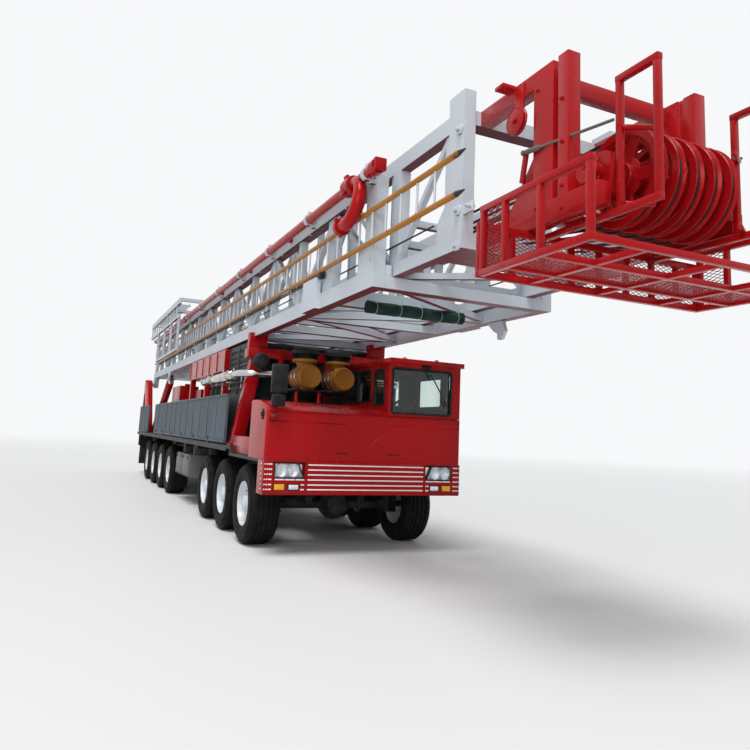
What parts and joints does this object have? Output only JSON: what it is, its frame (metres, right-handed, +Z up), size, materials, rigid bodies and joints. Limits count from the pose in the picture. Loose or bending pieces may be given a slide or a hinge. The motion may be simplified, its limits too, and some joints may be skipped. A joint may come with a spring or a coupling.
{
  "type": "truck-mounted workover rig",
  "caption": "Truck carrier with steered and driven axles, offset cab and a telescoping lattice mast laid forward over it, with its crown, platforms, winding drum and raising cylinders.",
  "frame": {"origin": "on the ground under the middle of the rig's bounding box", "axes": "+X forward, +Y to the left side, +Z up"},
  "size_m": [22.01, 3.0391, 4.9148],
  "materials": {
    "red_paint": "gloss enamel",
    "white_paint": "gloss enamel",
    "dark_paint": "satin enamel",
    "grey_blue_paint": "satin enamel",
    "grey_paint": "satin enamel",
    "gold_paint": "satin enamel",
    "bare_steel": "brushed",
    "rod_chrome": "polished",
    "rubber_tyre": "matte rubber",
    "cab_glazing": "clear",
    "cab_trim": "textured",
    "canvas": "waxed canvas"
  },
  "bodies": {
    "carrier": {"chassis_frame": "dark_paint", "axles": "dark_paint", "nose": "red_paint", "lamp_panel": "red_paint", "cab_shell": "red_paint", "cab_glass": "cab_glazing", "cab_interior": "cab_trim", "deck": "dark_paint", "side_boxes": "grey_paint", "front_support": "red_paint", "engines": "dark_paint", "air_cleaners": "gold_paint", "exhausts": "bare_steel", "machine_housing": "red_paint", "drawworks_frame": "red_paint", "mast_base": "red_paint", "mirrors": "dark_paint"},
    "cab_door_body": {"cab_door": "red_paint"},
    "drum": {"drawworks_drum": "bare_steel"},
    "side_platform_right": {"platform_right": "grey_blue_paint"},
    "side_platform_left": {"platform_left": "grey_blue_paint"},
    "front_jacks": {"jacks_front": "rod_chrome"},
    "rear_jacks": {"jacks_rear": "rod_chrome"},
    "lift_barrels": {"raising_barrels": "red_paint"},
    "lift_rods": {"raising_rods": "rod_chrome"},
    "lower_mast": {"lower_right": "white_paint", "lower_left": "white_paint", "lower_back": "white_paint", "mast_ladder": "gold_paint", "standpipe": "red_paint", "tarp_roll": "canvas"},
    "upper_mast": {"upper_right": "white_paint", "upper_left": "white_paint", "upper_back": "white_paint", "crown_frame": "red_paint", "crown_platform": "red_paint"},
    "sheave_cluster": {"crown_sheaves": "red_paint"},
    "board": {"racking_board": "white_paint", "board_rails": "white_paint"},
    "block": {"travelling_block": "gold_paint"},
    "wheel_1_right_body": {"wheel_1_right": "rubber_tyre"},
    "knuckle_1_right_body": {"knuckle_1_right": "dark_paint"},
    "wheel_1_left_body": {"wheel_1_left": "rubber_tyre"},
    "knuckle_1_left_body": {"knuckle_1_left": "dark_paint"},
    "wheel_2_right_body": {"wheel_2_right": "rubber_tyre"},
    "knuckle_2_right_body": {"knuckle_2_right": "dark_paint"},
    "wheel_2_left_body": {"wheel_2_left": "rubber_tyre"},
    "knuckle_2_left_body": {"knuckle_2_left": "dark_paint"},
    "wheel_3_right_body": {"wheel_3_right": "rubber_tyre"},
    "knuckle_3_right_body": {"knuckle_3_right": "dark_paint"},
    "wheel_3_left_body": {"wheel_3_left": "rubber_tyre"},
    "knuckle_3_left_body": {"knuckle_3_left": "dark_paint"},
    "wheel_4_right_body": {"wheel_4_right": "rubber_tyre"},
    "wheel_4_left_body": {"wheel_4_left": "rubber_tyre"},
    "wheel_5_right_body": {"wheel_5_right": "rubber_tyre"},
    "wheel_5_left_body": {"wheel_5_left": "rubber_tyre"},
    "wheel_6_right_body": {"wheel_6_right": "rubber_tyre"},
    "wheel_6_left_body": {"wheel_6_left": "rubber_tyre"},
    "wheel_7_right_body": {"wheel_7_right": "rubber_tyre"},
    "wheel_7_left_body": {"wheel_7_left": "rubber_tyre"}
  },
  "joints": [
    {"name": "door_hinge", "type": "hinge", "parent": "carrier", "child": "cab_door_body", "pos_m": [4.791, 1.5123, 2.05], "axis": [0, 0, -1], "range_deg": [0, 70]},
    {"name": "drum_spin", "type": "hinge", "parent": "carrier", "child": "drum", "pos_m": [-7.215, 0, 2.06], "axis": [0, 1, 0], "continuous": true},
    {"name": "platform_right_fold", "type": "hinge", "parent": "carrier", "child": "side_platform_right", "pos_m": [-3.015, -1.486, 1.3943], "axis": [1, 0, 0], "range_deg": [0, 90]},
    {"name": "platform_left_fold", "type": "hinge", "parent": "carrier", "child": "side_platform_left", "pos_m": [-3.015, 1.486, 1.3943], "axis": [-1, 0, 0], "range_deg": [0, 90]},
    {"name": "front_jack_slide", "type": "slide", "parent": "carrier", "child": "front_jacks", "axis": [0, 0, -1], "range_m": [0, 0.33]},
    {"name": "rear_jack_slide", "type": "slide", "parent": "carrier", "child": "rear_jacks", "axis": [0, 0, -1], "range_m": [0, 0.33]},
    {"name": "mast_raise", "type": "hinge", "parent": "carrier", "child": "lower_mast", "pos_m": [-10.315, 0, 2.99], "axis": [0, -1, 0], "range_deg": [0, 93.5]},
    {"name": "mast_extend", "type": "slide", "parent": "lower_mast", "child": "upper_mast", "axis": [1, 0, 0], "range_m": [0, 15.5]},
    {"name": "board_fold", "type": "hinge", "parent": "upper_mast", "child": "board", "pos_m": [-9.27, 0, 4.865], "axis": [0, -1, 0], "range_deg": [0, 90]},
    {"name": "block_travel", "type": "slide", "parent": "upper_mast", "child": "block", "axis": [1, 0, 0], "range_m": [0, 9]},
    {"name": "sheave_spin", "type": "hinge", "parent": "upper_mast", "child": "sheave_cluster", "pos_m": [10.435, 0, 3.64], "axis": [0, 1, 0], "continuous": true},
    {"name": "barrel_swing", "type": "hinge", "parent": "carrier", "child": "lift_barrels", "pos_m": [-9.515, 0, 1.51], "axis": [0, -1, 0], "range_deg": [0, 73.31]},
    {"name": "rod_slide", "type": "slide", "parent": "lift_barrels", "child": "lift_rods", "axis": [0.8789, 0, 0.4771], "range_m": [0, 1.9944]},
    {"name": "steer_1_right", "type": "hinge", "parent": "carrier", "child": "knuckle_1_right_body", "pos_m": [3.985, -0.93, 0.575], "axis": [0, 0, 1], "range_deg": [-25, 25]},
    {"name": "spin_1_right", "type": "hinge", "parent": "knuckle_1_right_body", "child": "wheel_1_right_body", "pos_m": [3.985, -1.2275, 0.575], "axis": [0, 1, 0], "continuous": true},
    {"name": "steer_1_left", "type": "hinge", "parent": "carrier", "child": "knuckle_1_left_body", "pos_m": [3.985, 0.93, 0.575], "axis": [0, 0, 1], "range_deg": [-25, 25]},
    {"name": "spin_1_left", "type": "hinge", "parent": "knuckle_1_left_body", "child": "wheel_1_left_body", "pos_m": [3.985, 1.2275, 0.575], "axis": [0, 1, 0], "continuous": true},
    {"name": "steer_2_right", "type": "hinge", "parent": "carrier", "child": "knuckle_2_right_body", "pos_m": [2.515, -0.93, 0.575], "axis": [0, 0, 1], "range_deg": [-21.25, 21.25]},
    {"name": "spin_2_right", "type": "hinge", "parent": "knuckle_2_right_body", "child": "wheel_2_right_body", "pos_m": [2.515, -1.2275, 0.575], "axis": [0, 1, 0], "continuous": true},
    {"name": "steer_2_left", "type": "hinge", "parent": "carrier", "child": "knuckle_2_left_body", "pos_m": [2.515, 0.93, 0.575], "axis": [0, 0, 1], "range_deg": [-21.25, 21.25]},
    {"name": "spin_2_left", "type": "hinge", "parent": "knuckle_2_left_body", "child": "wheel_2_left_body", "pos_m": [2.515, 1.2275, 0.575], "axis": [0, 1, 0], "continuous": true},
    {"name": "steer_3_right", "type": "hinge", "parent": "carrier", "child": "knuckle_3_right_body", "pos_m": [1.045, -0.93, 0.575], "axis": [0, 0, 1], "range_deg": [-17.5, 17.5]},
    {"name": "spin_3_right", "type": "hinge", "parent": "knuckle_3_right_body", "child": "wheel_3_right_body", "pos_m": [1.045, -1.2275, 0.575], "axis": [0, 1, 0], "continuous": true},
    {"name": "steer_3_left", "type": "hinge", "parent": "carrier", "child": "knuckle_3_left_body", "pos_m": [1.045, 0.93, 0.575], "axis": [0, 0, 1], "range_deg": [-17.5, 17.5]},
    {"name": "spin_3_left", "type": "hinge", "parent": "knuckle_3_left_body", "child": "wheel_3_left_body", "pos_m": [1.045, 1.2275, 0.575], "axis": [0, 1, 0], "continuous": true},
    {"name": "spin_4_right", "type": "hinge", "parent": "carrier", "child": "wheel_4_right_body", "pos_m": [-3.615, -1.2275, 0.575], "axis": [0, 1, 0], "continuous": true},
    {"name": "spin_4_left", "type": "hinge", "parent": "carrier", "child": "wheel_4_left_body", "pos_m": [-3.615, 1.2275, 0.575], "axis": [0, 1, 0], "continuous": true},
    {"name": "spin_5_right", "type": "hinge", "parent": "carrier", "child": "wheel_5_right_body", "pos_m": [-5.095, -1.2275, 0.575], "axis": [0, 1, 0], "continuous": true},
    {"name": "spin_5_left", "type": "hinge", "parent": "carrier", "child": "wheel_5_left_body", "pos_m": [-5.095, 1.2275, 0.575], "axis": [0, 1, 0], "continuous": true},
    {"name": "spin_6_right", "type": "hinge", "parent": "carrier", "child": "wheel_6_right_body", "pos_m": [-6.575, -1.2275, 0.575], "axis": [0, 1, 0], "continuous": true},
    {"name": "spin_6_left", "type": "hinge", "parent": "carrier", "child": "wheel_6_left_body", "pos_m": [-6.575, 1.2275, 0.575], "axis": [0, 1, 0], "continuous": true},
    {"name": "spin_7_right", "type": "hinge", "parent": "carrier", "child": "wheel_7_right_body", "pos_m": [-8.055, -1.2275, 0.575], "axis": [0, 1, 0], "continuous": true},
    {"name": "spin_7_left", "type": "hinge", "parent": "carrier", "child": "wheel_7_left_body", "pos_m": [-8.055, 1.2275, 0.575], "axis": [0, 1, 0], "continuous": true}
  ],
  "couplings": [
    {"joint": "barrel_swing", "follows": "mast_raise", "ratio": 0.78404},
    {"joint": "rod_slide", "follows": "mast_raise", "m_per_rad": 1.2222},
    {"joint": "steer_1_right", "follows": "steer_1_left", "ratio": 1},
    {"joint": "steer_2_right", "follows": "steer_1_left", "ratio": 0.85},
    {"joint": "steer_2_left", "follows": "steer_1_left", "ratio": 0.85},
    {"joint": "steer_3_right", "follows": "steer_1_left", "ratio": 0.7},
    {"joint": "steer_3_left", "follows": "steer_1_left", "ratio": 0.7}
  ]
}
